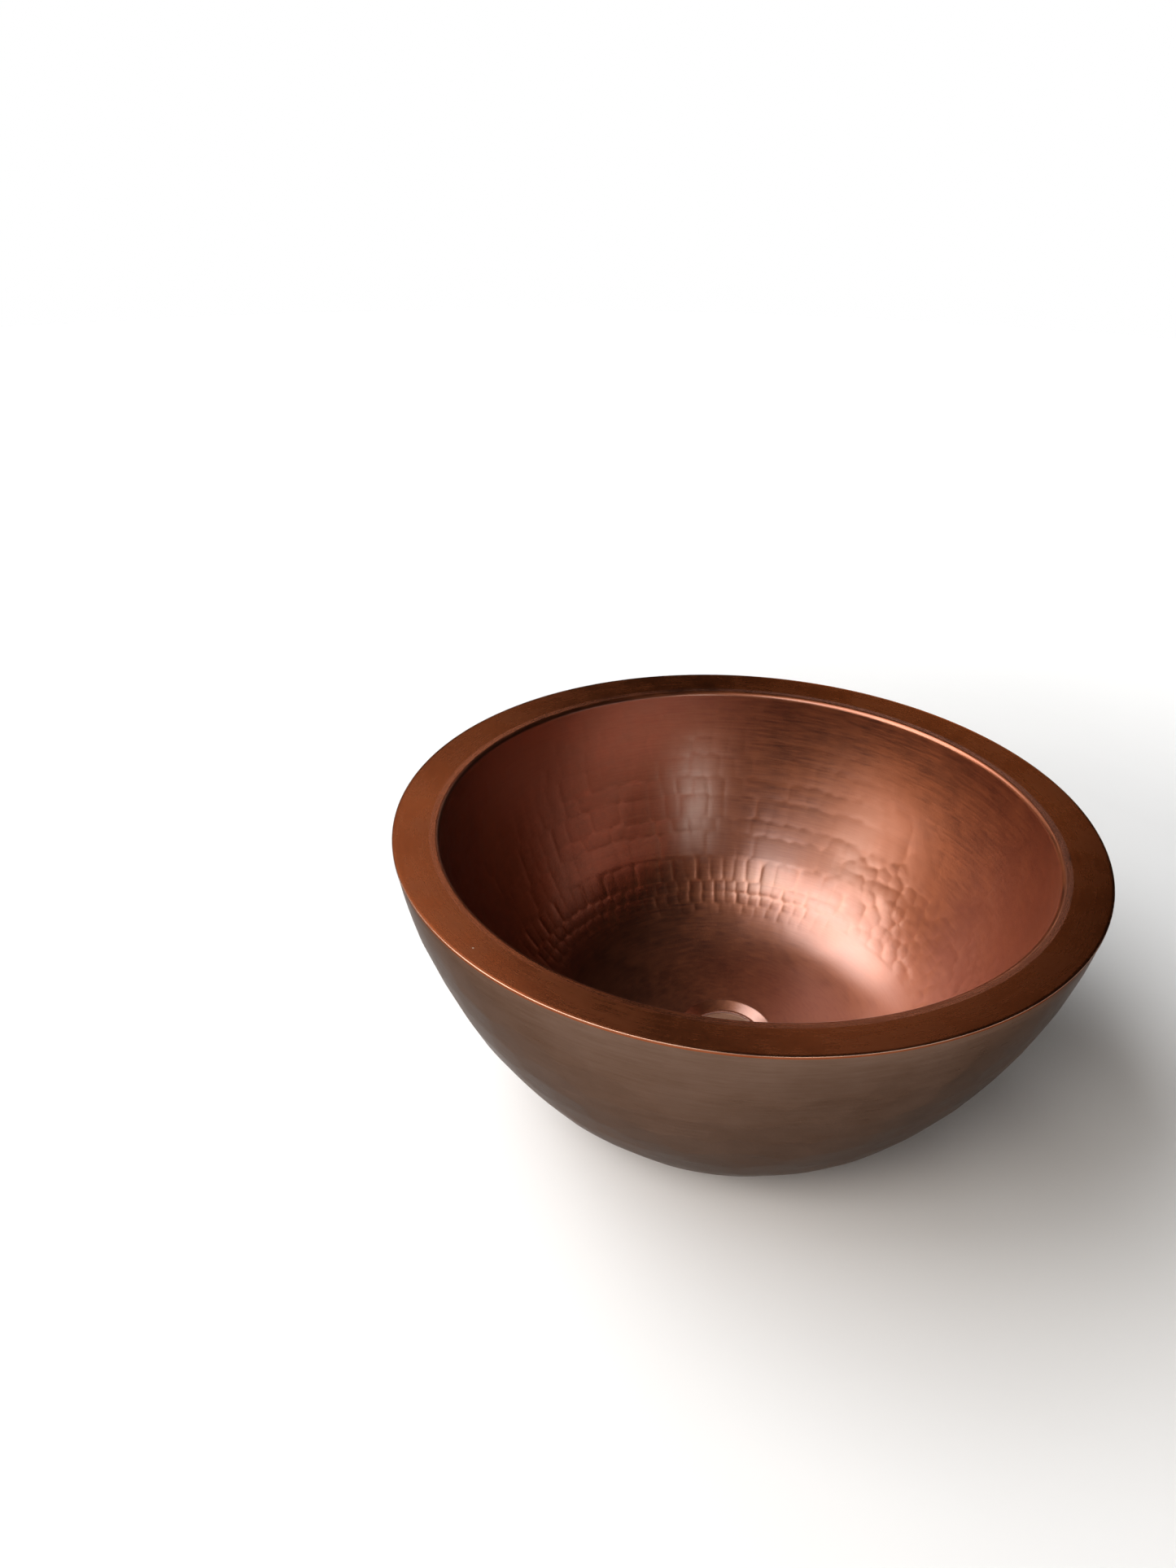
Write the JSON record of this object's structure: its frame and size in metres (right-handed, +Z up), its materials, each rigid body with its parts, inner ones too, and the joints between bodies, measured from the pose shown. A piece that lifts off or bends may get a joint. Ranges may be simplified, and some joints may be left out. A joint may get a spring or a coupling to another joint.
{
  "type": "vessel sink bowl",
  "caption": "Round double-walled hammered copper vessel basin with a broad flat rim, a pressed drain dish and a flat base.",
  "frame": {"origin": "middle of the flat base, on the surface that the basin stands on", "axes": "+Z up along the basin's axis through the drain, out of the open mouth"},
  "size_m": [0.4064, 0.4064, 0.1777],
  "materials": {
    "hammered_copper": "hand-hammered copper with a brown antique patina, satin",
    "outer_copper": "smooth copper with a matt olive-brown patina",
    "rim_copper": "brushed copper with a dark red-brown patina",
    "base_copper": "smooth copper with a matt brown patina",
    "inside_copper": "plain copper, dull",
    "braze": "brazing filler, dull brass yellow"
  },
  "bodies": {
    "root": {"inner_bowl": "hammered_copper", "outer_shell": "outer_copper", "rim_ring": "rim_copper", "base_disc": "base_copper", "drain_collar": "inside_copper", "rim_seam_braze": "braze", "rim_shell_braze": "braze", "base_braze": "braze", "collar_lower_braze": "braze", "collar_upper_braze": "braze"}
  },
  "joints": []
}
